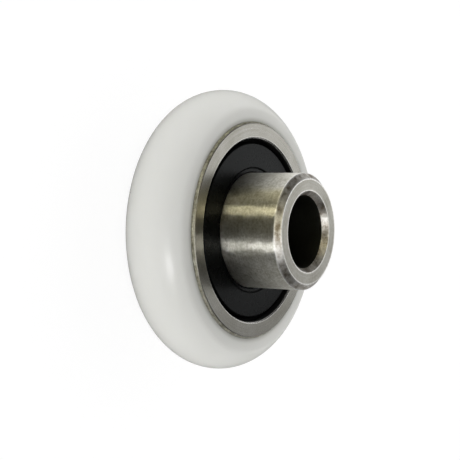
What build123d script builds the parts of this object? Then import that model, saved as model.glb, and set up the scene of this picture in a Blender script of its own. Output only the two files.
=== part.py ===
from build123d import *
import os

# A small track roller: a sealed ball bearing with a crowned plastic tyre moulded round its outer
# ring. The inner ring runs on past the front face as a plain tube, which spaces the roller off
# the plate that it is bolted to. Sizes are in millimetres. The axis is Z, the rear faces of both
# rings lie at height 0, and the tube points up.

# Rings
bore_diameter = 6.0
ring_diameter = 19.0
ring_width = 6.0
tube_length = 5.1
ring_corner = 0.15
keying_step_depth = 0.45
keying_step_width = 0.7
opening_bevel = 0.1
tube_end_chamfer = 0.45
rear_end_chamfer = 0.3
bore_chamfer_radial = 0.33
bore_chamfer_axial = 0.5

# Balls and the races that they run in
ball_count = 7
ball_diameter = 3.5
race_depth = 0.3
race_relief = 0.06
ball_clearance = 0.03

# Cage of two pressed steel ribbons, riveted together between the balls
cage_sheet = 0.22
cage_width = 1.5
cage_bend = 0.12
pocket_clearance = 0.05
rivet_diameter = 0.5
rivet_head_diameter = 0.85
rivet_head_height = 0.2
rivet_clearance = 0.01

# Rubber seals, each held by its thick edge in a groove of the outer ring
seal_recess = 0.27
seal_thickness = 0.35
seal_rim_inset = 0.4
seal_rim_bevel = 0.08
lip_clearance = 0.04
lip_width = 0.33
lip_drop = 0.06
lip_groove_width = 0.12
lip_groove_depth = 0.16
seat_top = 0.65
seat_width = 0.55
seat_reach = 0.3
seat_slope = 0.1
bead_clearance = 0.03
bead_neck = 0.12

# Tyre
tyre_thickness = 2.3
tyre_inset = 0.25
crown_drop = 1.54
shoulder_blend = 0.8

# Sizes worked out from those above
bore_radius = bore_diameter / 2
ring_radius = ring_diameter / 2
middle = ring_width / 2
tube_end = ring_width + tube_length
ball_radius = ball_diameter / 2
pitch_radius = (bore_radius + ring_radius) / 2
inner_land = pitch_radius - ball_radius + race_depth
outer_land = pitch_radius + ball_radius - race_depth
race_radius = ball_radius + race_relief
race_shift = race_relief - ball_clearance
pocket_radius = ball_radius + pocket_clearance
dome_radius = pocket_radius + cage_sheet
grip_height = middle + cage_sheet
seat_radius = outer_land + seat_reach
step_radius = ring_radius - keying_step_depth


def turned(section):
    """A solid of revolution from a flat section, whose X is radius and whose Y is height."""
    return revolve(Plane.XZ * section, Axis.Z)


def mirrored_up(half):
    """A closed outline from its half above the middle of the rings, given as (radius, height)."""
    lower = [(radius, ring_width - height) for radius, height in reversed(half)]
    return make_face(Polyline(*half, *lower, close=True))


def nearest_corner(section, radius, height):
    """The corner of a section that lies nearest a point."""
    return section.vertices().sort_by_distance((radius, height, 0))[0]


def around(piece, step=0.0):
    """Copies of a piece at each ball's place round the pitch circle, turned on by a part step."""
    pitch = 360 / ball_count
    return [Rot(Z=pitch * (place + step)) * Pos(X=pitch_radius) * piece for place in range(ball_count)]


def from_behind(piece):
    """The mirror image of a piece on the other side of the rings' middle plane."""
    return mirror(piece, Plane.XY.offset(middle))


def make_tyre():
    """The moulded tyre: a crown with soft shoulders, which fills the step at each end of the outer ring."""
    top = ring_width - tyre_inset
    tyre_radius = ring_radius + tyre_thickness
    shoulder = tyre_radius - crown_drop
    sides = Polyline(
        (shoulder, tyre_inset),
        (step_radius, tyre_inset),
        (step_radius, keying_step_width),
        (ring_radius, keying_step_width),
        (ring_radius, ring_width - keying_step_width),
        (step_radius, ring_width - keying_step_width),
        (step_radius, top),
        (shoulder, top),
    )
    crown = ThreePointArc((shoulder, top), (tyre_radius, middle), (shoulder, tyre_inset))
    section = make_face(sides.edges() + crown.edges())
    corners = [nearest_corner(section, shoulder, height) for height in (tyre_inset, top)]
    return turned(fillet(corners, shoulder_blend))


def make_outer_ring():
    """The outer ring: one race, a groove for a seal and an outer step for the tyre at each end."""
    section = mirrored_up([
        (outer_land, middle),
        (outer_land, ring_width - seat_top - seat_width),
        (seat_radius, ring_width - seat_top - seat_width + seat_slope),
        (seat_radius, ring_width - seat_top - seat_slope),
        (outer_land, ring_width - seat_top),
        (outer_land, ring_width - opening_bevel),
        (outer_land + opening_bevel, ring_width),
        (step_radius - ring_corner, ring_width),
        (step_radius, ring_width - ring_corner),
        (step_radius, ring_width - keying_step_width),
        (ring_radius, ring_width - keying_step_width),
    ])
    race = Pos(pitch_radius - race_shift, middle) * Circle(race_radius)
    return turned(section - race)


def make_inner_ring():
    """The inner ring and the tube that it carries on as, with one race and a chamfered bore."""
    section = make_face(Polyline(
        (bore_radius + bore_chamfer_radial, 0),
        (inner_land - rear_end_chamfer, 0),
        (inner_land, rear_end_chamfer),
        (inner_land, tube_end - tube_end_chamfer),
        (inner_land - tube_end_chamfer, tube_end),
        (bore_radius + bore_chamfer_radial, tube_end),
        (bore_radius, tube_end - bore_chamfer_axial),
        (bore_radius, bore_chamfer_axial),
        close=True,
    ))
    race = Pos(pitch_radius + race_shift, middle) * Circle(race_radius)
    return turned(section - race)


def make_cage_half():
    """One pressed ribbon: a sheet domed over each ball, then trimmed to a ring and drilled."""
    on_base = (Align.CENTER, Align.CENTER, Align.MIN)
    dome = Pos(Z=middle) * Sphere(dome_radius, arc_size1=0, align=on_base)
    pocket = Pos(Z=middle) * Sphere(pocket_radius)
    sheet = Pos(Z=middle) * extrude(Circle(pitch_radius + 2 * dome_radius), cage_sheet)
    sheet += around(dome)
    feet = sheet.edges().filter_by(GeomType.CIRCLE).filter_by_position(Axis.Z, grip_height, grip_height)
    sheet = fillet([foot for foot in feet if foot.radius < dome_radius], cage_bend)
    sheet -= around(pocket)
    mouths = sheet.edges().filter_by(GeomType.CIRCLE).filter_by_position(Axis.Z, middle, middle)
    sheet = fillet([mouth for mouth in mouths if mouth.radius < dome_radius], cage_bend)
    ribbon = Circle(pitch_radius + cage_width / 2) - Circle(pitch_radius - cage_width / 2)
    half = sheet & (Pos(Z=middle) * extrude(ribbon, dome_radius))
    hole = Pos(Z=middle) * Cylinder(rivet_diameter / 2 + rivet_clearance, 4 * cage_sheet)
    return half - around(hole, 0.5)


def make_rivets():
    """The rivets of the cage, each a shank with a domed head at both ends."""
    head_radius = rivet_head_diameter / 2
    shank_radius = rivet_diameter / 2
    crest = grip_height + rivet_head_height
    half = Polyline(
        (0, crest),
        (0, middle),
        (shank_radius, middle),
        (shank_radius, grip_height),
        (head_radius, grip_height),
    )
    dome = TangentArc((0, crest), (head_radius, grip_height), tangent=(1, 0))
    upper = turned(make_face(half.edges() + dome.edges()))
    return around(upper + from_behind(upper), 0.5)


def make_seal():
    """The front seal: a flat disc with a lip at the tube and a thick edge held in the outer ring."""
    face = ring_width - seal_recess
    back = face - seal_thickness
    lip = inner_land + lip_clearance
    lip_top = face - lip_drop
    groove_start = lip + lip_width
    groove_floor = face - lip_groove_depth
    rim = outer_land - seal_rim_inset
    bead_top = ring_width - seat_top - bead_clearance
    bead_floor = bead_top - seat_width + 2 * bead_clearance
    bead_radius = seat_radius - bead_clearance
    section = make_face(Polyline(
        (lip, back),
        (lip, lip_top - seal_rim_bevel),
        (lip + seal_rim_bevel, lip_top),
        (groove_start, lip_top),
        (groove_start + lip_groove_width / 2, groove_floor),
        (groove_start + lip_groove_width, face),
        (rim - seal_rim_bevel, face),
        (rim, face - seal_rim_bevel),
        (rim + bead_neck, bead_top),
        (outer_land - bead_clearance, bead_top),
        (bead_radius, bead_top - seat_slope),
        (bead_radius, bead_floor + seat_slope),
        (outer_land - bead_clearance, bead_floor),
        (rim, bead_floor),
        (rim - bead_neck, back),
        close=True,
    ))
    return turned(section)


front_seal = make_seal()
cage_front = make_cage_half()
pieces = {
    "tyre": make_tyre(),
    "outer_ring": make_outer_ring(),
    "inner_ring": make_inner_ring(),
    "front_seal": front_seal,
    "rear_seal": from_behind(front_seal),
    "cage_front": cage_front,
    "cage_rear": from_behind(cage_front),
    "cage_rivets": Compound(make_rivets()),
}
for number, ball in enumerate(around(Pos(Z=middle) * Sphere(ball_radius)), start=1):
    pieces[f"ball_{number}"] = ball

os.makedirs("parts", exist_ok=True)
for name, piece in pieces.items():
    export_step(piece, f"parts/{name}.step")
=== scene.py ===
# %% [markdown]
# A small track roller, stood on its end
#
# The roller is a sealed ball bearing. A crowned tyre of off-white plastic is moulded round its
# outer ring, and its inner ring runs on past one side as a steel tube. The solids come packed,
# in metres, with Z along the axis. This lesson gives them their finish: every surface that shows
# is worked out again as a fine turned skin, with eased edges, and gets a material of its own.

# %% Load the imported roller
import math

import bpy
import numpy as np
from mathutils import Matrix, Vector


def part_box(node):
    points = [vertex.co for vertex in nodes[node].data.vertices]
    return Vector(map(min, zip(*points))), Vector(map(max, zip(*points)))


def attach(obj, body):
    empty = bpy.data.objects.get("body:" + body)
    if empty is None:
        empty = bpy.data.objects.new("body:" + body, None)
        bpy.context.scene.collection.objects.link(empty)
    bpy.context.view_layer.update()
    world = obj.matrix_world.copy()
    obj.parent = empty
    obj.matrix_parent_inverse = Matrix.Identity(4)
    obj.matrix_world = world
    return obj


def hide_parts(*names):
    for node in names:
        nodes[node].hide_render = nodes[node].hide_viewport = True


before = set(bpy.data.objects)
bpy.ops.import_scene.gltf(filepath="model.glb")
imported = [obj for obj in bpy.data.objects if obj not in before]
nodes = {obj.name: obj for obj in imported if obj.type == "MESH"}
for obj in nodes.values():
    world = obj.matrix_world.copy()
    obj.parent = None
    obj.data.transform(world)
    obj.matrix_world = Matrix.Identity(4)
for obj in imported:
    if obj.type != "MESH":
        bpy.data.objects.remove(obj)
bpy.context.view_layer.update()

# %% [markdown]
# Sizes
#
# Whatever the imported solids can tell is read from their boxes, so that a new size in the solids
# moves the finish with it. What lies inside a box, such as a chamfer, is named here once, in
# millimetres, and turned into metres.

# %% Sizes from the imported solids, and those inside them
MM = 0.001
MICRON = 0.001 * MM

tyre_low, tyre_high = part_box("tyre")
_, ring_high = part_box("outer_ring")
_, tube_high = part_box("inner_ring")
_, seal_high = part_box("front_seal")

TYRE_RADIUS = tyre_high[0]
TYRE_BASE = tyre_low[2]
TYRE_TOP = tyre_high[2]
RING_RADIUS = ring_high[0]
RING_WIDTH = ring_high[2]
TUBE_RADIUS = tube_high[0]
TUBE_END = tube_high[2]
SEAL_FACE = seal_high[2]
MIDDLE = RING_WIDTH / 2

CROWN_DROP = 1.54 * MM
SHOULDER_BLEND = 0.8 * MM
RING_CORNER = 0.15 * MM
STEP_DEPTH = 0.45 * MM
STEP_WIDTH = 0.7 * MM
OPENING_RADIUS = 7.7 * MM
OPENING_BEVEL = 0.1 * MM
SEAT_TOP = 0.65 * MM
SEAT_WIDTH = 0.55 * MM
SEAT_REACH = 0.3 * MM
SEAT_SLOPE = 0.1 * MM
PITCH_RADIUS = 6.25 * MM
RACE_RADIUS = 1.81 * MM
RACE_SHIFT = 0.03 * MM
BORE_RADIUS = 3.0 * MM
BORE_CHAMFER = (0.33 * MM, 0.5 * MM)
END_CHAMFER = 0.45 * MM
REAR_CHAMFER = 0.3 * MM
SEAL_THICKNESS = 0.35 * MM
SEAL_RIM_INSET = 0.4 * MM
SEAL_BEVEL = 0.08 * MM
LIP_CLEARANCE = 0.04 * MM
LIP_WIDTH = 0.33 * MM
LIP_DROP = 0.06 * MM
LIP_GROOVE = (0.12 * MM, 0.16 * MM)
BEAD_CLEARANCE = 0.03 * MM
BEAD_NECK = 0.12 * MM
print(f"tyre {2 * TYRE_RADIUS / MM:.1f} mm across, tube end at {TUBE_END / MM:.1f} mm")

# %% [markdown]
# Turned skins
#
# Everything here was made on a lathe, ground, or moulded in a round die, so each piece is one
# outline of radius and height carried round the axis. It could be a curve with a Screw modifier,
# but worked out as arrays it gives full say over where the points fall. Edges on real parts are
# never quite sharp: each corner gets a small round, because that thin round is what catches the
# light. Two guard points beside each round keep the flat faces flat when they are smooth shaded.

# %% Outlines
EDGE_STEPS = 8
GUARD = 0.02 * MM


def arc(centre, radius, start, end, steps):
    """Points of a circle: centre + radius * (cos a, sin a), with a from start to end degrees."""
    angle = np.radians(np.linspace(start, end, steps))
    return np.asarray(centre) + radius * np.column_stack((np.cos(angle), np.sin(angle)))


def eased(corners, radii):
    """A chain of straight runs whose inner corners are rounded.

    At each corner the round's centre lies on the bisector, radius / sin(half the corner's
    angle) away, and the round's points are a spherical blend of its two end directions.
    """
    corners = np.asarray(corners, float)
    before, at, after = corners[:-2], corners[1:-1], corners[2:]
    radii = np.broadcast_to(np.asarray(radii, float), len(at))[:, None]
    back = (before - at) / np.linalg.norm(before - at, axis=1)[:, None]
    ahead = (after - at) / np.linalg.norm(after - at, axis=1)[:, None]
    half = np.arccos(np.clip((back * ahead).sum(1), -1, 1))[:, None] / 2
    reach = radii / np.tan(half)
    bisector = (back + ahead) / np.linalg.norm(back + ahead, axis=1)[:, None]
    centre = at + bisector * radii / np.sin(half)
    start = (at + back * reach - centre)[:, None, :]
    end = (at + ahead * reach - centre)[:, None, :]
    sweep = (np.pi - 2 * half)[:, :, None]
    share = np.linspace(0, 1, EDGE_STEPS)[None, :, None]
    rounds = centre[:, None, :] + (
        np.sin((1 - share) * sweep) * start + np.sin(share * sweep) * end
    ) / np.sin(sweep)
    first_guard = (at + back * (reach + GUARD))[:, None, :]
    last_guard = (at + ahead * (reach + GUARD))[:, None, :]
    run = np.concatenate((first_guard, rounds, last_guard), axis=1).reshape(-1, 2)
    return np.vstack((corners[:1], run, corners[-1:]))


print(f"each eased corner: {EDGE_STEPS} points between two guards")


# %% Meshes from arrays
def quads(first, next_first, second, next_second):
    """Faces of a grid whose points are numbered first + second.

    Each face goes one step the first way, one step the second way, and back again.
    """
    corners = (
        first + second,
        next_first + second,
        next_first + next_second,
        first + next_second,
    )
    return np.stack(corners, axis=-1)


def mesh_object(name, points, faces):
    """A new object at the origin, from an array of points and one of the faces' point numbers."""
    points, faces = np.asarray(points), np.asarray(faces)
    mesh = bpy.data.meshes.new(name)
    point_rows = points.reshape(-1, 3).tolist()
    face_rows = faces.reshape(-1, faces.shape[-1]).tolist()
    mesh.from_pydata(point_rows, [], face_rows)
    made = bpy.data.objects.new(name, mesh)
    bpy.context.scene.collection.objects.link(made)
    print(f"{name}: {len(face_rows)} faces")
    return made


# %% Carry an outline round the axis
TURN_STEPS = 240


def turned(name, outline, body, node):
    """The skin x = r cos t, y = r sin t, z = h for every outline point (r, h) and every turn t.

    The outline is a loop. Its signed area tells which way it runs, and one that runs clockwise is
    reversed, so that every face points outwards.
    """
    ahead = np.roll(outline, -1, axis=0)
    area = (outline[:, 0] * ahead[:, 1] - ahead[:, 0] * outline[:, 1]).sum() / 2
    outline = outline if area > 0 else outline[::-1]
    count = len(outline)
    turn = np.linspace(0, 2 * np.pi, TURN_STEPS, endpoint=False)[:, None]
    radius, height = outline.T
    height = np.broadcast_to(height, (TURN_STEPS, count))
    points = np.stack((np.cos(turn) * radius, np.sin(turn) * radius, height), axis=-1)
    row = np.arange(TURN_STEPS)[:, None] * count
    column = np.arange(count)[None, :]
    faces = quads(row, np.roll(row, -1, axis=0), column, np.roll(column, -1, axis=1))
    piece = mesh_object(name, points, faces)
    piece.data.shade_smooth()
    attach(piece, body)
    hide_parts(node)
    return piece


# %% [markdown]
# The tyre
#
# The tyre is moulded straight onto the ring, so it fills the step at each end of the ring and
# stops a quarter of a millimetre short of its faces. Its tread is one arc through the two
# shoulders and the crown. A rolling-ball blend, tangent to that arc and to the flat side, softens
# each shoulder: its centre is one blend radius under the side and one blend radius inside the arc.

# %% The tyre's crown and shoulders
CROWN_STEPS = 72
BLEND_STEPS = 14

half_width = (TYRE_TOP - TYRE_BASE) / 2
crown_radius = (half_width**2 + CROWN_DROP**2) / (2 * CROWN_DROP)
crown_centre = TYRE_RADIUS - crown_radius
blend_height = half_width - SHOULDER_BLEND
blend_radius = crown_centre + math.sqrt((crown_radius - SHOULDER_BLEND) ** 2 - blend_height**2)
shoulder_angle = math.degrees(math.atan2(blend_height, blend_radius - crown_centre))

crown = arc((crown_centre, MIDDLE), crown_radius, -shoulder_angle, shoulder_angle, CROWN_STEPS)
upper_centre = (blend_radius, MIDDLE + blend_height)
lower_centre = (blend_radius, MIDDLE - blend_height)
upper_blend = arc(upper_centre, SHOULDER_BLEND, shoulder_angle, 90, BLEND_STEPS)
lower_blend = arc(lower_centre, SHOULDER_BLEND, -90, -shoulder_angle, BLEND_STEPS)
print(f"crown's radius {crown_radius / MM:.2f} mm, up to {shoulder_angle:.1f} degrees each way")

# %% Make the tyre
FLASH_EDGE = 0.05 * MM
HIDDEN_EDGE = 0.02 * MM
SIDE_END = 0.3 * MM
SIDE_STEPS = 8

step_radius = RING_RADIUS - STEP_DEPTH
side_run = np.linspace(blend_radius, step_radius + SIDE_END, SIDE_STEPS)[1:]
upper_side = np.column_stack((side_run, np.full(len(side_run), TYRE_TOP)))
lower_side = np.column_stack((side_run[::-1], np.full(len(side_run), TYRE_BASE)))
inside = eased(
    [
        upper_side[-1],
        (step_radius, TYRE_TOP),
        (step_radius, RING_WIDTH - STEP_WIDTH),
        (RING_RADIUS, RING_WIDTH - STEP_WIDTH),
        (RING_RADIUS, STEP_WIDTH),
        (step_radius, STEP_WIDTH),
        (step_radius, TYRE_BASE),
        lower_side[0],
    ],
    [FLASH_EDGE, *[HIDDEN_EDGE] * 4, FLASH_EDGE],
)
tyre_outline = np.vstack(
    (crown, upper_blend[1:], upper_side[:-1], inside, lower_side[1:], lower_blend[:-1])
)
tyre = turned("moulded_tyre", tyre_outline, "outer", "tyre")

# %% [markdown]
# The rings
#
# Both rings are hardened steel, turned, then ground on their faces. The outer ring has a bevelled
# opening, a groove behind it for each seal, and the race in the middle. The inner ring is one
# piece with the tube: its outside runs straight from the race to the tube's end. Neither race
# shows, but a turned skin has to close, and so it follows the solid all the way round.

# %% Make the outer ring
STEEL_EDGE = 0.04 * MM
RACE_STEPS = 24

front_corners = [
    (OPENING_RADIUS, RING_WIDTH - SEAT_TOP - SEAT_WIDTH),
    (OPENING_RADIUS + SEAT_REACH, RING_WIDTH - SEAT_TOP - SEAT_WIDTH + SEAT_SLOPE),
    (OPENING_RADIUS + SEAT_REACH, RING_WIDTH - SEAT_TOP - SEAT_SLOPE),
    (OPENING_RADIUS, RING_WIDTH - SEAT_TOP),
    (OPENING_RADIUS, RING_WIDTH - OPENING_BEVEL),
    (OPENING_RADIUS + OPENING_BEVEL, RING_WIDTH),
    (step_radius - RING_CORNER, RING_WIDTH),
    (step_radius, RING_WIDTH - RING_CORNER),
    (step_radius, RING_WIDTH - STEP_WIDTH),
    (RING_RADIUS, RING_WIDTH - STEP_WIDTH),
]
rear_corners = [(radius, RING_WIDTH - height) for radius, height in reversed(front_corners)]
outer_race_centre = PITCH_RADIUS - RACE_SHIFT
outer_angle = math.degrees(math.acos((OPENING_RADIUS - outer_race_centre) / RACE_RADIUS))
outer_race = arc((outer_race_centre, MIDDLE), RACE_RADIUS, -outer_angle, outer_angle, RACE_STEPS)
outer_chain = eased([outer_race[-1], *front_corners, *rear_corners, outer_race[0]], STEEL_EDGE)
outer_outline = np.vstack((outer_race[1:-1], outer_chain))
outer_ring = turned("ground_outer_ring", outer_outline, "outer", "outer_ring")

# %% Make the inner ring and its tube
bore_run, bore_depth = BORE_CHAMFER
bore_mouth = BORE_RADIUS + bore_run
end_corner = (TUBE_RADIUS, TUBE_END - END_CHAMFER)
end_rim = (TUBE_RADIUS - END_CHAMFER, TUBE_END)
end_mouth = (bore_mouth, TUBE_END)
rear_mouth = (bore_mouth, 0.0)
rear_rim = (TUBE_RADIUS - REAR_CHAMFER, 0.0)
rear_corner = (TUBE_RADIUS, REAR_CHAMFER)

inner_race_centre = PITCH_RADIUS + RACE_SHIFT
inner_angle = math.degrees(math.acos((inner_race_centre - TUBE_RADIUS) / RACE_RADIUS))
inner_race = arc(
    (inner_race_centre, MIDDLE), RACE_RADIUS, 180 + inner_angle, 180 - inner_angle, RACE_STEPS
)
inner_corners = [
    end_corner,
    end_rim,
    end_mouth,
    (BORE_RADIUS, TUBE_END - bore_depth),
    (BORE_RADIUS, bore_depth),
    rear_mouth,
    rear_rim,
    rear_corner,
]
inner_chain = eased([inner_race[-1], *inner_corners, inner_race[0]], STEEL_EDGE)
inner_outline = np.vstack((inner_race[1:-1], inner_chain))
inner_ring = turned("turned_tube_ring", inner_outline, "inner", "inner_ring")

# %% [markdown]
# The seals
#
# Each seal is a rubber disc. Its thick outer edge is pressed into the groove of the outer ring,
# and its thin lip ends at the tube, behind a fine groove that shows as a line. The rear one is
# the same outline with its heights counted from the other face.

# %% Make both seals
RUBBER_EDGE = 0.03 * MM

seal_back = SEAL_FACE - SEAL_THICKNESS
lip = TUBE_RADIUS + LIP_CLEARANCE
lip_top = SEAL_FACE - LIP_DROP
groove_start = lip + LIP_WIDTH
groove_width, groove_depth = LIP_GROOVE
rim = OPENING_RADIUS - SEAL_RIM_INSET
bead_top = RING_WIDTH - SEAT_TOP - BEAD_CLEARANCE
bead_floor = bead_top - SEAT_WIDTH + 2 * BEAD_CLEARANCE
bead_radius = OPENING_RADIUS + SEAT_REACH - BEAD_CLEARANCE
seal_corners = [
    (lip, (seal_back + lip_top) / 2),
    (lip, lip_top - SEAL_BEVEL),
    (lip + SEAL_BEVEL, lip_top),
    (groove_start, lip_top),
    (groove_start + groove_width / 2, SEAL_FACE - groove_depth),
    (groove_start + groove_width, SEAL_FACE),
    (rim - SEAL_BEVEL, SEAL_FACE),
    (rim, SEAL_FACE - SEAL_BEVEL),
    (rim + BEAD_NECK, bead_top),
    (OPENING_RADIUS - BEAD_CLEARANCE, bead_top),
    (bead_radius, bead_top - SEAT_SLOPE),
    (bead_radius, bead_floor + SEAT_SLOPE),
    (OPENING_RADIUS - BEAD_CLEARANCE, bead_floor),
    (rim, bead_floor),
    (rim - BEAD_NECK, seal_back),
    (lip, seal_back),
    (lip, (seal_back + lip_top) / 2),
]
seal_outline = eased(seal_corners, RUBBER_EDGE)[:-1]
rear_outline = seal_outline * (1, -1) + (0, RING_WIDTH)
front_seal = turned("rubber_front_seal", seal_outline, "outer", "front_seal")
rear_seal = turned("rubber_rear_seal", rear_outline, "outer", "rear_seal")

# %% [markdown]
# Writing materials as sums
#
# A finish is a formula: a colour or a roughness that depends on where the point is. It could be
# wired up by hand, node by node, but a sum is easier to read. A Value wraps a socket, and adding
# or multiplying Values in Python adds the Math nodes. A Recipe is a tree of nodes with one method
# that makes any of them, and a Finish is the recipe of one material.


# %% A socket that can be reckoned with
class Value:
    """One number on a node tree. Python's operators on it add Math nodes."""

    def __init__(self, recipe, socket):
        self.recipe = recipe
        self.socket = socket

    def math(self, operation, *others):
        """One Math node with this value first."""
        return self.recipe.math(operation, self, *others)

    def __add__(self, other):
        return self.math("ADD", other)

    def __sub__(self, other):
        return self.math("SUBTRACT", other)

    def __rsub__(self, other):
        return self.recipe.math("SUBTRACT", other, self)

    def __mul__(self, other):
        return self.math("MULTIPLY", other)

    def __pow__(self, other):
        return self.math("POWER", other)

    __radd__ = __add__
    __rmul__ = __mul__

    def step(self, start, end):
        """0 before start and 1 after end, with a smooth rise between them."""
        settings = {"interpolation_type": "SMOOTHSTEP"}
        sockets = {"Value": self, "From Min": start, "From Max": end, "To Min": 0.0, "To Max": 1.0}
        return self.recipe.node("ShaderNodeMapRange", settings, sockets)


# %% A tree with one way to add a node
# A Mix node has sockets of one name for every kind of data. Those for colours go by number.
COLOUR_A, COLOUR_B, COLOUR_RESULT = 6, 7, 2


class Recipe:
    """A node tree in the making. One method adds any node, and the rest are short forms of it."""

    def __init__(self, tree):
        self.tree = tree

    def node(self, kind, settings=None, sockets=None, output=0):
        """Adds a node, sets its settings first, then fills its sockets with values or links."""
        made = self.tree.nodes.new(kind)
        for key, value in (settings or {}).items():
            setattr(made, key, value)
        for key, value in (sockets or {}).items():
            self.feed(made.inputs[key], value)
        return Value(self, made.outputs[output])

    def feed(self, socket, value):
        """Links a Value to a socket, or sets a plain number, colour or vector on it."""
        if isinstance(value, Value):
            self.tree.links.new(value.socket, socket)
        else:
            socket.default_value = value

    def math(self, operation, *values):
        """One Math node on numbers and Values."""
        return self.node("ShaderNodeMath", {"operation": operation}, dict(enumerate(values)))

    def parts(self, spot):
        """The X, Y and Z of a point."""
        parted = self.node("ShaderNodeSeparateXYZ", sockets={"Vector": spot})
        return [Value(self, output) for output in parted.socket.node.outputs]

    def vector(self, x, y, z):
        """The point with this X, Y and Z."""
        return self.node("ShaderNodeCombineXYZ", sockets={"X": x, "Y": y, "Z": z})

    def noise(self, spot, scale, detail=2.0, roughness=0.5):
        """Smooth random values about 0, from -1 to 1, with scale bumps to the unit."""
        sockets = {"Vector": spot, "Scale": scale, "Detail": detail, "Roughness": roughness}
        return self.node("ShaderNodeTexNoise", None, sockets) * 2 - 1

    def blend(self, share, first, second):
        """A colour that goes from first to second as share goes from 0 to 1."""
        sockets = {"Factor": share, COLOUR_A: first, COLOUR_B: second}
        return self.node("ShaderNodeMix", {"data_type": "RGBA"}, sockets, COLOUR_RESULT)

    def bump(self, height, distance):
        """Leans the surface's normal as a relief of height times distance would."""
        return self.node("ShaderNodeBump", None, {"Height": height, "Distance": distance})

    def shows_white(self):
        """1 for rays that should meet plain white: the camera's, a mirror's or through glass."""
        seen = self.node("ShaderNodeLightPath", output="Is Camera Ray")
        for ray in ("Is Glossy Ray", "Is Transmission Ray"):
            seen = seen.math("MAXIMUM", self.node("ShaderNodeLightPath", output=ray))
        return seen


# %% A material
class Finish(Recipe):
    """The recipe of one material, round its main shader."""

    def __init__(self, name, **constants):
        self.material = bpy.data.materials.new(name)
        self.material.use_nodes = True
        super().__init__(self.material.node_tree)
        self.shader = self.tree.nodes["Principled BSDF"]
        self.drive(**constants)

    def drive(self, **sockets):
        """Fills the main shader's sockets. An underscore in a name stands for a space."""
        for name, value in sockets.items():
            self.feed(self.shader.inputs[name.replace("_", " ")], value)

    def show(self, shader):
        """Makes another shader the one that the surface shows."""
        self.feed(self.tree.nodes["Material Output"].inputs["Surface"], shader)

    def place(self):
        """The point on the piece in millimetres: its X, Y and Z."""
        spot = self.node("ShaderNodeTexCoord", output="Object")
        return [part * (1 / MM) for part in self.parts(spot)]


def dress(finish, *pieces):
    """Makes one material the only one on the pieces."""
    for piece in pieces:
        piece.data.materials.clear()
        piece.data.materials.append(finish.material)
    print(f"{finish.material.name}: {len(finish.tree.nodes)} nodes, pieces {len(pieces)}")


# %% [markdown]
# Moulded plastic
#
# The tyre is a hard, faintly see-through plastic with a satin skin. Near the ring it is only a
# thin lip over dark steel, so its colour greys there, and painted shade of the corner where it
# meets the ring darkens it further. A little light goes in and comes out again close by, which
# softens the shading: the shader's subsurface does that softening.
# The skin has a very fine orange peel from the mould, and its tone drifts a little from place to
# place, as slow noise.

# %% The tyre's plastic
PLASTIC_TONES = ((0.662, 0.664, 0.632, 1), (0.696, 0.695, 0.668, 1))
# The grey towards the ring: thin plastic over steel, and painted shade of the corner by the ring.
GREY_AND_SHADE_TONE = (0.3, 0.305, 0.26, 1)
SATIN, SATIN_DRIFT = 0.26, 0.02
SCATTER_DEPTH = 0.8 * MM
CLOUD_SCALE = 0.22
PEEL_SCALE = 1.6
PEEL_HEIGHT = 0.8 * MICRON
THIN_AND_SHADE_FADE = (9.0, 10.0)
THIN_AND_SHADE_SHARE = 0.09
LIP_SHADE_FADE = (step_radius / MM, (RING_RADIUS + FLASH_EDGE) / MM)
LIP_SHADE_SHARE = 0.52


def moulded_plastic():
    """Off-white plastic, greyed towards the ring by two fades of the radius in millimetres.

    The grey is thin plastic over steel and painted shade of the corner by the ring. Its share is
    the thin share times a slow fade, plus the lip's share times a quick one.
    The tone and the roughness follow clouds, a slow noise, and the peel is a finer noise.
    """
    finish = Finish(
        "moulded_plastic",
        Subsurface_Weight=0.25,
        Subsurface_Radius=(1.0, 1.0, 0.9),
        Subsurface_Scale=SCATTER_DEPTH,
        Specular_IOR_Level=0.2,
    )
    x, y, z = finish.place()
    radius = (x * x + y * y) ** 0.5
    spot = finish.vector(x, y, z)
    clouds = finish.noise(spot, CLOUD_SCALE, detail=3.0)
    peel = finish.noise(spot, PEEL_SCALE)
    # Painted shade: the grey towards the ring stands for thin plastic over steel and for the shade
    # in the corner where the tyre meets the ring.
    thin_and_shade = 1 - radius.step(*THIN_AND_SHADE_FADE)
    lip_shade_share = 1 - radius.step(*LIP_SHADE_FADE)
    body = finish.blend(clouds * 0.5 + 0.5, *PLASTIC_TONES)
    finish.drive(
        Base_Color=finish.blend(thin_and_shade * THIN_AND_SHADE_SHARE + lip_shade_share * LIP_SHADE_SHARE, body, GREY_AND_SHADE_TONE),
        Roughness=SATIN + clouds * SATIN_DRIFT,
        Normal=finish.bump(peel, PEEL_HEIGHT),
    )
    return finish


dress(moulded_plastic(), tyre)

# %% [markdown]
# Turned and ground steel
#
# One turned ring has several finishes: ground faces, a turned outside, and a bore kept near
# black as painted shade. The outer ring's seats are painted shade in the same way. So each
# finish gets a slot of its own, and every face of the skin is given the slot that suits the
# radius and height where it lies.
#
# Lathe marks run round the axis. They are far too fine to see one by one, and they smear a
# highlight across themselves: along the tube, and a little across its end face. The shader's
# anisotropy does that, turned by a quarter because its own direction is round the axis. The
# outer ring's ground faces aren't smeared, and the chamfers, which are knocked most, are blotched
# instead. Coarser marks are a relief: thin rings, from noise that changes fast across the marks
# and slowly round them, small pits that make the light bands sparkle, and a slow waviness that
# bends them.


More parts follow.
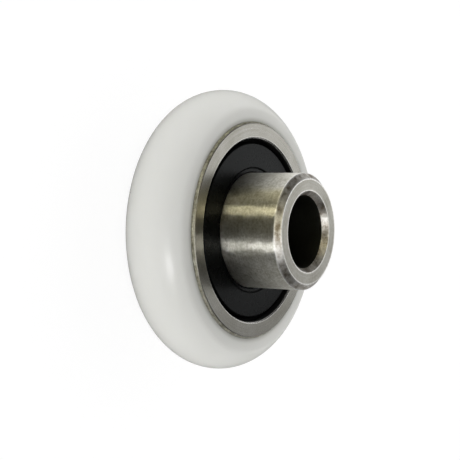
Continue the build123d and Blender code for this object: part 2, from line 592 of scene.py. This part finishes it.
# %% Give each zone of a piece its own finish
def dress_zones(piece, finishes, pick):
    """Fills the piece's slots, then sets each face's slot number to pick(radius, height)."""
    mesh = piece.data
    mesh.materials.clear()
    for finish in finishes:
        mesh.materials.append(finish.material)
    centres = np.empty(3 * len(mesh.polygons))
    mesh.polygons.foreach_get("center", centres)
    x, y, z = centres.reshape(-1, 3).T
    chosen = pick(np.hypot(x, y), z).astype(int)
    mesh.polygons.foreach_set("material_index", chosen)
    names = [finish.material.name for finish in finishes]
    print(f"{piece.name}: {names}, faces of each {np.bincount(chosen).tolist()}")


# %% Steel with marks round the axis
# Bumps to the millimetre, and for the marks round the axis to the radian.
MARKS_ACROSS = 9
MARKS_ROUND = 1.2
PIT_SCALE = 5.0
WAVE_SCALE = 1.4
STAIN_SCALE = 0.6
# Lengths in millimetres.
WEAR_AND_HIGHLIGHT_REACH = (0.04, 0.15)
SOIL_AND_SHADE_FADE = 0.06
# What wear and soil look like: the bright edges are also painted highlight, and the dark corner is
# also painted shade.
WORN_AND_HIGHLIGHT_TONE = (0.92, 0.91, 0.88, 1)
WORN_AND_HIGHLIGHT_SHARE, WORN_AND_HIGHLIGHT_SPARKLE = 0.7, 0.8
GRIME_AND_SHADE_TONES = ((0.24, 0.23, 0.18, 1), (0.72, 0.71, 0.63, 1))
GRIME_AND_SHADE_WAVES, GRIME_AND_SHADE_PITS = 0.7, 0.5
SOIL_DULLNESS = 0.55
DULL_VARIATION = 0.02


def marked_steel(name, roughness, smear, relief, mottle, tones, worn_and_highlit=(), soiled_and_shaded=None):
    """Steel whose tone is a sum of four noises, with painted highlight on worn edges and painted
    shade in a soiled corner.

    The four shares in mottle scale stains, blotches, ring marks and pits in the tone, and the
    three heights in relief, in micrometres, are those of ring marks, pits and a slow waviness. A
    worn and highlit edge is a circle given as (radius, height), in metres, and its bright tone is
    wear and a painted highlight. Its mask is 1 within the near reach of that circle and 0 past the
    far one, by the distance hypot(r - radius, z - height). From the soiled and shaded radius
    outwards, the steel is duller and has blotched dark tones, which are both what gathers there and
    painted shade of the corner.
    """
    finish = Finish(name, Metallic=1.0, Anisotropic=smear, Anisotropic_Rotation=0.25)
    x, y, z = finish.place()
    radius = (x * x + y * y) ** 0.5
    turn = y.math("ARCTAN2", x)
    spot = finish.vector(x, y, z)
    marks = finish.vector(radius * MARKS_ACROSS, z * MARKS_ACROSS, turn * MARKS_ROUND)
    rings = finish.noise(marks, scale=1.0, detail=3.0)
    pits = finish.noise(spot, PIT_SCALE, roughness=0.6)
    waves = finish.noise(spot, WAVE_SCALE, detail=1.0)
    stains = finish.noise(spot, STAIN_SCALE, detail=3.0)
    stain_share, blotch_share, ring_share, pit_share = mottle
    spread = stains * stain_share + waves * blotch_share + rings * ring_share + pits * pit_share
    colour = finish.blend(0.5 + spread, *tones)
    # Painted highlight: the bright edges are partly wear and partly the highlight that those edges
    # catch.
    for edge_radius, edge_height in worn_and_highlit:
        off = ((radius - edge_radius / MM) ** 2 + (z - edge_height / MM) ** 2) ** 0.5
        share = (1 - off.step(*WEAR_AND_HIGHLIGHT_REACH)) * (WORN_AND_HIGHLIGHT_SHARE + pits * WORN_AND_HIGHLIGHT_SPARKLE)
        colour = finish.blend(share, colour, WORN_AND_HIGHLIGHT_TONE)
    dull = roughness
    if soiled_and_shaded:
        # Painted shade: the dark corner by the tyre is partly dirt and partly the shade of that
        # corner.
        soil_and_shade = radius.step(soiled_and_shaded / MM, soiled_and_shaded / MM + SOIL_AND_SHADE_FADE)
        grime_and_shade = finish.blend(0.5 + waves * GRIME_AND_SHADE_WAVES + pits * GRIME_AND_SHADE_PITS, *GRIME_AND_SHADE_TONES)
        colour = finish.blend(soil_and_shade, colour, grime_and_shade)
        dull = roughness + soil_and_shade * SOIL_DULLNESS
    ring_relief, pit_relief, wave_relief = relief
    finish.drive(
        Base_Color=colour,
        Roughness=rings * DULL_VARIATION + pits * DULL_VARIATION + dull,
        Normal=finish.bump(rings * ring_relief + pits * pit_relief + waves * wave_relief, MICRON),
    )
    return finish


# %% The outer ring's steels
TOUCH = 0.001 * MM
SOIL_AND_SHADE_MARGIN = 0.02 * MM
front_opening = (OPENING_RADIUS + OPENING_BEVEL / 2, RING_WIDTH - OPENING_BEVEL / 2)
rear_opening = (OPENING_RADIUS + OPENING_BEVEL / 2, OPENING_BEVEL / 2)

# Painted light on this steel: highlight on the worn opening edges, shade in the soiled corner by
# the tyre.
ground_steel = marked_steel(
    "ground_steel",
    roughness=0.26,
    smear=0.0,
    relief=(1.0, 0.3, 2.0),
    mottle=(0.4, 0.0, 0.5, 0.12),
    tones=((0.245, 0.237, 0.195, 1), (0.405, 0.397, 0.37, 1)),
    worn_and_highlit=(front_opening, rear_opening),
    soiled_and_shaded=step_radius - RING_CORNER + SOIL_AND_SHADE_MARGIN,
)
# Painted shade: the seats lie in the shade behind the seals, and this near-black steel stands for
# that shade.
seat_steel_painted_shade = marked_steel(
    "seat_steel_painted_shade",
    roughness=0.5,
    smear=0.3,
    relief=(2.0, 2.0, 0.0),
    mottle=(0.3, 0.0, 0.3, 0.3),
    tones=((0.03, 0.03, 0.03, 1), (0.05, 0.05, 0.045, 1)),
)


def ring_zone(radius, height):
    """0 on the ground outside, 1 on the seats and the race, inside the opening's bevels."""
    within = np.abs(height - MIDDLE) < MIDDLE - OPENING_BEVEL - STEEL_EDGE
    return within & (radius < OPENING_RADIUS + SEAT_REACH + TOUCH)


dress_zones(outer_ring, [ground_steel, seat_steel_painted_shade], ring_zone)

# %% The inner ring's steels
# The worn edges of the tube's steels are wear and painted highlight.
turned_steel = marked_steel(
    "turned_steel",
    roughness=0.35,
    smear=1.0,
    relief=(6.0, 3.0, 16.0),
    mottle=(0.4, 0.4, 0.4, 1.0),
    tones=((0.40, 0.385, 0.315, 1), (0.70, 0.69, 0.63, 1)),
    worn_and_highlit=(end_corner, end_rim, rear_corner),
)
faced_steel = marked_steel(
    "faced_steel",
    roughness=0.3,
    smear=0.4,
    relief=(1.0, 0.3, 2.0),
    mottle=(0.4, 0.0, 0.4, 0.35),
    tones=((0.22, 0.212, 0.172, 1), (0.44, 0.43, 0.395, 1)),
    worn_and_highlit=(end_mouth, end_rim, rear_mouth, rear_rim),
)
# Painted shade: the bore is darkened near to black for the shade inside it.
bore_steel_painted_shade = marked_steel(
    "bore_steel_painted_shade",
    roughness=0.5,
    smear=0.3,
    relief=(2.0, 2.0, 0.0),
    mottle=(0.3, 0.0, 0.3, 0.3),
    tones=((0.035, 0.035, 0.026, 1), (0.06, 0.06, 0.047, 1)),
)
edge_steel = marked_steel(
    "edge_steel",
    roughness=0.38,
    smear=0.3,
    relief=(1.0, 5.0, 9.0),
    mottle=(0.7, 0.85, 0.2, 0.6),
    tones=((0.28, 0.24, 0.185, 1), (0.92, 0.90, 0.855, 1)),
    worn_and_highlit=(end_corner, end_rim, rear_corner),
)


def tube_zone(radius, height):
    """0 on the turned outside, 1 on the two end faces, 2 in the bore, 3 on the chamfers."""
    face = (height < TOUCH) | (height > TUBE_END - TOUCH)
    bore = radius < BORE_RADIUS + TOUCH
    outer_chamfer = (height > TUBE_END - END_CHAMFER) | (height < REAR_CHAMFER)
    chamfer = outer_chamfer | (radius < bore_mouth)
    return np.select([bore, face, chamfer], [2, 1, 3], 0)


dress_zones(inner_ring, [turned_steel, faced_steel, bore_steel_painted_shade, edge_steel], tube_zone)

# %% [markdown]
# Black rubber
#
# The seals are black rubber with a smooth moulded skin. Most of their grey is a soft reflection,
# so the colour itself is nearly black and the shader's specular level is low. A little dust makes
# both uneven. The neck and the bead lie in the shade between the seal and the ring, and that
# shade is painted: they get a plain, blacker and less shiny rubber.

# %% Dress the seals
RUBBER_TONES = ((0.0003, 0.0004, 0.0004, 1), (0.0012, 0.0013, 0.0013, 1))
RUBBER_DULLNESS, DUST_DULLNESS = 0.28, 0.05
DUST_SCALE = 1.5
SKIN_SCALE = 16.0


def seal_rubber():
    """Black rubber whose tone and roughness follow dust, and whose relief is a fine skin."""
    finish = Finish("seal_rubber", Specular_IOR_Level=0.075, Specular_Tint=(0.88, 1.0, 1.0, 1))
    spot = finish.vector(*finish.place())
    dust = finish.noise(spot, DUST_SCALE, detail=4.0, roughness=0.6)
    finish.drive(
        Base_Color=finish.blend(dust * 0.5 + 0.5, *RUBBER_TONES),
        Roughness=RUBBER_DULLNESS + dust * DUST_DULLNESS,
        Normal=finish.bump(finish.noise(spot, SKIN_SCALE), MICRON),
    )
    return finish


def seal_zone(radius, height):
    """0 on the face and the lip, 1 on the neck and the bead."""
    return radius > rim + TOUCH


# Painted shade: the neck and the bead get this blacker rubber for the shade they lie in.
gap_rubber_painted_shade = Finish(
    "gap_rubber_painted_shade",
    Base_Color=(0.0004, 0.0004, 0.0004, 1),
    Roughness=0.6,
    Specular_IOR_Level=0.03,
)
rubber = seal_rubber()
for seal in (front_seal, rear_seal):
    dress_zones(seal, [rubber, gap_rubber_painted_shade], seal_zone)

# %% [markdown]
# The parts inside
#
# Behind the seals the balls are polished, and the cage and its rivets are plain pressed steel,
# all with a film of yellow grease. They only show if the roller is taken apart, but they get
# their finish too. Their solids have the right shape already, so they keep it and only change
# their material.

# %% Dress the balls, the cage and the rivets
GREASE_TONE = (0.42, 0.36, 0.24, 1)
GREASE_SCALE = 1.2
GREASE_DULLNESS = 0.3
GREASE_HEIGHT = 2 * MICRON


def greased_steel(name, roughness, tone, film):
    """Steel under smears of grease. Their noise, from 0 to 1, times the film is their share."""
    finish = Finish(name, Metallic=1.0)
    spot = finish.vector(*finish.place())
    smear = finish.noise(spot, GREASE_SCALE, detail=3.0) * 0.5 + 0.5
    share = smear * film
    finish.drive(
        Base_Color=finish.blend(share, tone, GREASE_TONE),
        Roughness=roughness + share * GREASE_DULLNESS,
        Normal=finish.bump(smear, GREASE_HEIGHT),
    )
    return finish


balls = [node for name, node in nodes.items() if name.startswith("ball_")]
ball_steel = greased_steel("polished_ball_steel", 0.08, (0.72, 0.72, 0.72, 1), film=0.25)
cage_steel = greased_steel("pressed_cage_steel", 0.32, (0.52, 0.52, 0.50, 1), film=0.4)
rivet_steel = greased_steel("rivet_steel", 0.26, (0.58, 0.57, 0.55, 1), film=0.3)
dress(ball_steel, *balls)
dress(cage_steel, nodes["cage_front"], nodes["cage_rear"])
dress(rivet_steel, nodes["cage_rivets"])

# %% [markdown]
# Camera
#
# The photograph looks at the roller from in front and above its tube, with the axis lying level in
# the picture. The roller stands on its end here, so the camera is rolled by a quarter turn instead.
# A Track To constraint could aim it, but only upright, so it is set by its place and by the two
# directions that are right and up in the picture.

# %% Set up the camera
SENSOR_WIDTH = 36
LENS = 98.46
CLIP_START = 5 * MM
CAMERA_PLACE = Vector((0, -89.14, 62.19)) * MM
PICTURE_RIGHT = Vector((-0.0286, 0.5504, 0.8344))
PICTURE_UP = Vector((-0.9996, -0.0154, -0.0241))

camera_data = bpy.data.cameras.new("camera")
camera_data.sensor_width = SENSOR_WIDTH
camera_data.lens = LENS
camera_data.clip_start = CLIP_START
camera = bpy.data.objects.new("camera", camera_data)
bpy.context.scene.collection.objects.link(camera)
right = PICTURE_RIGHT.normalized()
back = right.cross(PICTURE_UP).normalized()
up = back.cross(right)
aim = Matrix((right, up, back)).transposed().to_4x4()
camera.matrix_world = Matrix.Translation(CAMERA_PLACE) @ aim
bpy.context.scene.camera = camera
print(f"camera {CAMERA_PLACE.length / MM:.0f} mm from the origin, lens {LENS} mm")

# %% [markdown]
# Floor
#
# The roller stands on a white sheet that keeps its faint shadow. A brighter lamp could make the
# sheet white, but it would burn the roller out. So most of what the camera, a mirror or glass
# meets there is a white glow of the sheet's own, and the rest is the lit sheet with the shadow.
# The steel's reflections pass through the sheet, because the tent below stands in for it there.

# %% Lay the floor
FLOOR_SIZE = 3.0
FLOOR_DROP = 0.02 * MM
FLOOR_TONE = (0.93, 0.93, 0.93, 1)
FLOOR_LIFT = 0.85
FLOOR_GLOW = 1.05

reach = FLOOR_SIZE / 2
floor_corners = [(-reach, -reach), (reach, -reach), (reach, reach), (-reach, reach)]
floor_points = [(x, y, -FLOOR_DROP) for x, y in floor_corners]
floor = mesh_object("floor", floor_points, [(0, 1, 2, 3)])
floor.visible_glossy = False


def white_floor():
    """A matt white floor, mixed with a white glow by the lift times the rays that see it."""
    finish = Finish("white_floor", Base_Color=FLOOR_TONE, Roughness=0.9)
    share = finish.shows_white() * FLOOR_LIFT
    matt = Value(finish, finish.shader.outputs["BSDF"])
    glow = finish.node("ShaderNodeEmission", None, {"Strength": FLOOR_GLOW})
    finish.show(finish.node("ShaderNodeMixShader", None, {0: share, 1: matt, 2: glow}))
    return finish


dress(white_floor(), floor)

# %% [markdown]
# A dark patch under the bore, as painted shade
#
# The bore goes right through, and in the photograph it looks nearly black. Stood on white, it
# would show a bright spot at its far end. The steel could be made blacker, but the spot would
# stay, so a black disc on the floor, painted shade, closes that end. It stops under the bore's
# chamfer and doesn't show from outside.

# %% Lay the patch
PATCH_STEPS = 48
SHADE_PATCH_TONE = (0.002, 0.002, 0.002, 1)

patch_turn = np.linspace(0, 2 * np.pi, PATCH_STEPS, endpoint=False)
patch_reach = BORE_RADIUS + bore_run / 2
patch_height = np.full(PATCH_STEPS, -FLOOR_DROP / 2)
patch_points = np.column_stack(
    (patch_reach * np.cos(patch_turn), patch_reach * np.sin(patch_turn), patch_height)
)
# Painted shade: a black disc where the floor would show through the bore.
patch = mesh_object("painted_shade_patch", patch_points, [np.arange(PATCH_STEPS)])
shade_disc_finish = Finish("painted_shade_black", Base_Color=SHADE_PATCH_TONE, Roughness=1.0, Specular_IOR_Level=0.0)
dress(shade_disc_finish, patch)

# %% [markdown]
# A tent that only reflections see
#
# Steel shows what stands around it, so it needs a studio to mirror. It could be a set of lamps,
# but one globe whose glow is worked out by direction is simpler, and only reflections see it, so
# it doesn't light the roller otherwise. Low down stand two bright softboxes, one on each side of
# the camera, which draw the two light bands along the tube. Above them are their dimmer tops, a
# lamp and a reflector, and a ceiling overhead. Screens, walls and white tables stand round the
# sides, with black gaps between them.
#
# The plastic tyre shows a single soft glint, so the tent is kept from it by light linking, and it
# gets one small lamp of its own.


# %% A light that only some pieces get
def link_light(source, state, *pieces):
    """Lets only these pieces get the light of a source, or all but these, by state."""
    linked = bpy.data.collections.new(f"{source.name}_link")
    for piece in pieces:
        linked.objects.link(piece)
    for entry in linked.collection_objects:
        entry.light_linking.link_state = state
    source.light_linking.receiver_collection = linked
    print(f"{source.name}: {state} {[piece.name for piece in pieces]}")


# %% The tent's skin
TENT_RADIUS = 0.4
TENT_ROWS = 24
TENT_COLUMNS = 48


def tent_skin():
    """A globe: x = R cos e cos a, y = R cos e sin a, z = R sin e, for elevation e and azimuth a."""
    elevation = np.linspace(-np.pi / 2, np.pi / 2, TENT_ROWS)[:, None]
    azimuth = np.linspace(0, 2 * np.pi, TENT_COLUMNS, endpoint=False)[None, :]
    x = np.cos(elevation) * np.cos(azimuth)
    y = np.cos(elevation) * np.sin(azimuth)
    z = np.broadcast_to(np.sin(elevation), x.shape)
    points = TENT_RADIUS * np.stack((x, y, z), axis=-1)
    row = np.arange(TENT_ROWS - 1)[:, None] * TENT_COLUMNS
    column = np.arange(TENT_COLUMNS)[None, :]
    faces = quads(column, np.roll(column, -1, axis=1), row, row + TENT_COLUMNS)
    return mesh_object("reflection_tent", points, faces)


tent = tent_skin()

# %% What hangs in the tent
# Each panel: azimuth from the camera's side and half width, lowest and highest elevation, softness
# of its edges, all in degrees, and its brightness. To the right, azimuths are positive. The side
# that is tinted warm is marked out in the same way.
PANELS = {
    "key softbox": (30, 8, -6, 12, 1, 8.7),
    "lamp of the key softbox": (28, 10, 31, 43, 4, 3.3),
    "top of the key softbox": (25, 12, 43, 62, 3, 2.6),
    "its reflector": (50, 9, 22, 62, 4, 1.2),
    "second softbox": (-36, 6.5, -6, 12, 1, 8.5),
    "top of the second softbox": (-36, 8, 12, 46, 3, 1.0),
    "screen beside it": (-58, 10, -6, 24, 4, 1.3),
    "screen beside the key": (60, 8, -6, 24, 4, 0.4),
    "screen over the camera": (-16, 22, 52, 68, 5, 1.2),
    "floor in front": (0, 62, -91, 0, 8, 0.03),
    "wall on the left": (-104, 30, -8, 12, 6, 0.35),
    "wall on the right": (104, 30, -8, 12, 6, 0.3),
    "ceiling": (0, 181, 75, 91, 4, 1.6),
    "white table on the left": (-112, 44, -91, -8, 12, 1.75),
    "white table on the right": (110, 48, -91, -8, 12, 0.55),
    "light wall behind on the left": (-145, 14, -6, 10, 6, 0.5),
    "light wall behind on the right": (145, 14, -6, 10, 6, 0.5),
    "wall behind on the left": (-169.5, 13.5, 8, 48, 3, 1.16),
    "wall behind on the right": (169.5, 7.5, 8, 48, 3, 0.27),
}
BASE_LEVEL = 0.03
WARM_SIDE = (-35, 48, -91, 91, 12)
WARM_TINT = (1, 0.93, 0.66, 1)
brightest = max(PANELS, key=lambda name: PANELS[name][-1])
print(f"tent: {len(PANELS)} panels, brightest the {brightest}")

# %% The tent's glow
WHITE = (1, 1, 1, 1)
DEGREES = 180 / math.pi


def tent_light():
    """The tent's glow: a base level, plus each panel's mask times its brightness.

    Its colour goes from white to warm on one side. Elevation is atan2(z, hypot(x, y)).
    """
    finish = Finish("tent_light")
    x, y, z = finish.place()
    flat = (x * x + y * y) ** 0.5
    elevation = z.math("ARCTAN2", flat) * DEGREES

    def panel(azimuth, half_width, low, high, edge):
        """1 inside a panel and 0 outside it, with soft edges.

        The angle off its middle is that of (x, y), turned back by the panel's azimuth, and its
        mask is the product of a step for that angle and one each for low and high.
        """
        cosine, sine = math.cos(math.radians(azimuth)), math.sin(math.radians(azimuth))
        across = x * cosine + y * sine
        along = x * sine - y * cosine
        off = across.math("ARCTAN2", along).math("ABSOLUTE") * DEGREES
        inside = 1 - off.step(half_width - edge, half_width + edge)
        above = elevation.step(low - edge, low + edge)
        below = 1 - elevation.step(high - edge, high + edge)
        return inside * above * below

    level = BASE_LEVEL
    for *place, brightness in PANELS.values():
        level = panel(*place) * brightness + level
    colour = finish.blend(panel(*WARM_SIDE), WHITE, WARM_TINT)
    finish.show(finish.node("ShaderNodeEmission", None, {"Strength": level, "Color": colour}))
    finish.tree.nodes.remove(finish.shader)
    finish.material.cycles.emission_sampling = "NONE"
    return finish


dress(tent_light(), tent)

# %% Show the tent to reflections alone
tent.visible_camera = False
tent.visible_diffuse = False
tent.visible_transmission = False
tent.visible_volume_scatter = False
tent.visible_shadow = False
link_light(tent, "EXCLUDE", tyre)

# %% A small lamp for the tyre
GLINT_AZIMUTH = 32
GLINT_ELEVATION = 36
GLINT_DISTANCE = 0.38
GLINT_SIZE = 0.11
GLINT_POWER = 0.75


def tyre_glint():
    """A square lamp inside the tent's wall, which the tyre mirrors as one soft glint.

    With x to the right of the camera's side and y behind, it hangs in the direction
    (cos e sin a, -cos e cos a, sin e), for azimuth a and elevation e, and faces the roller.
    """
    lamp_data = bpy.data.lights.new("tyre_glint", "AREA")
    lamp_data.size = GLINT_SIZE
    lamp_data.energy = GLINT_POWER
    lamp = bpy.data.objects.new("tyre_glint", lamp_data)
    azimuth, elevation = math.radians(GLINT_AZIMUTH), math.radians(GLINT_ELEVATION)
    flat = math.cos(elevation)
    toward = Vector((flat * math.sin(azimuth), -flat * math.cos(azimuth), math.sin(elevation)))
    aim = toward.to_track_quat("Z", "Y").to_matrix().to_4x4()
    lamp.matrix_world = Matrix.Translation(toward * GLINT_DISTANCE) @ aim
    lamp.visible_camera = False
    lamp.visible_diffuse = False
    link_light(lamp, "INCLUDE", tyre)
    bpy.context.scene.collection.objects.link(lamp)


tyre_glint()

# %% [markdown]
# Soft light
#
# The roller is lit as in a white tent on a table whose top is shut: softly, from low down all
# round, more from the camera's side and from behind than from left and right, and most of all
# from behind, a little to the left. Big lamps could do that, but the light changes so slowly with
# direction that the world gives it. The camera, a mirror and glass see plain white there.

# %% World
LIGHT_ALL_ROUND = 0.88
LIGHT_FRONT_AND_BACK = 1.9
LIGHT_BEHIND = 1.35
LIGHT_RIGHT = 0.56
LIGHT_BEHIND_LEFT = 1.6
LIGHT_EVERYWHERE = 0.14
HORIZON_FADE = (0.05, 0.95)
SIDE_FADE = (-0.2, 1.0)
CORNER_FADE = (0.3, 1.0)
DIAGONAL = 0.7


def world_light():
    """The light by direction, with x to the camera's right, y away from it and z up.

    It is an even level plus low times a sum. Low fades from 1 at the horizon to 0 overhead. The
    sum is the light all round, y squared times that of front and back, and one share each for
    behind, the right and behind on the left, which grow by a step of y, x and (y - x).
    """
    world = bpy.data.worlds.new("studio")
    world.use_nodes = True
    recipe = Recipe(world.node_tree)
    x, y, z = recipe.parts(recipe.node("ShaderNodeTexCoord", output="Generated"))
    low = 1 - z.step(*HORIZON_FADE)
    behind = y.step(*SIDE_FADE)
    right_side = x.step(*SIDE_FADE)
    behind_left = ((y - x) * DIAGONAL).step(*CORNER_FADE)
    level = low * (
        LIGHT_ALL_ROUND
        + y * y * LIGHT_FRONT_AND_BACK
        + behind * LIGHT_BEHIND
        + right_side * LIGHT_RIGHT
        + behind_left * LIGHT_BEHIND_LEFT
    ) + LIGHT_EVERYWHERE
    white = recipe.shows_white()
    background = world.node_tree.nodes["Background"]
    recipe.feed(background.inputs["Strength"], level + white * (1 - level))
    recipe.feed(background.inputs["Color"], WHITE)
    print(f"world: {len(world.node_tree.nodes)} nodes")
    return world


bpy.context.scene.world = world_light()
bpy.context.scene.view_settings.view_transform = "Standard"
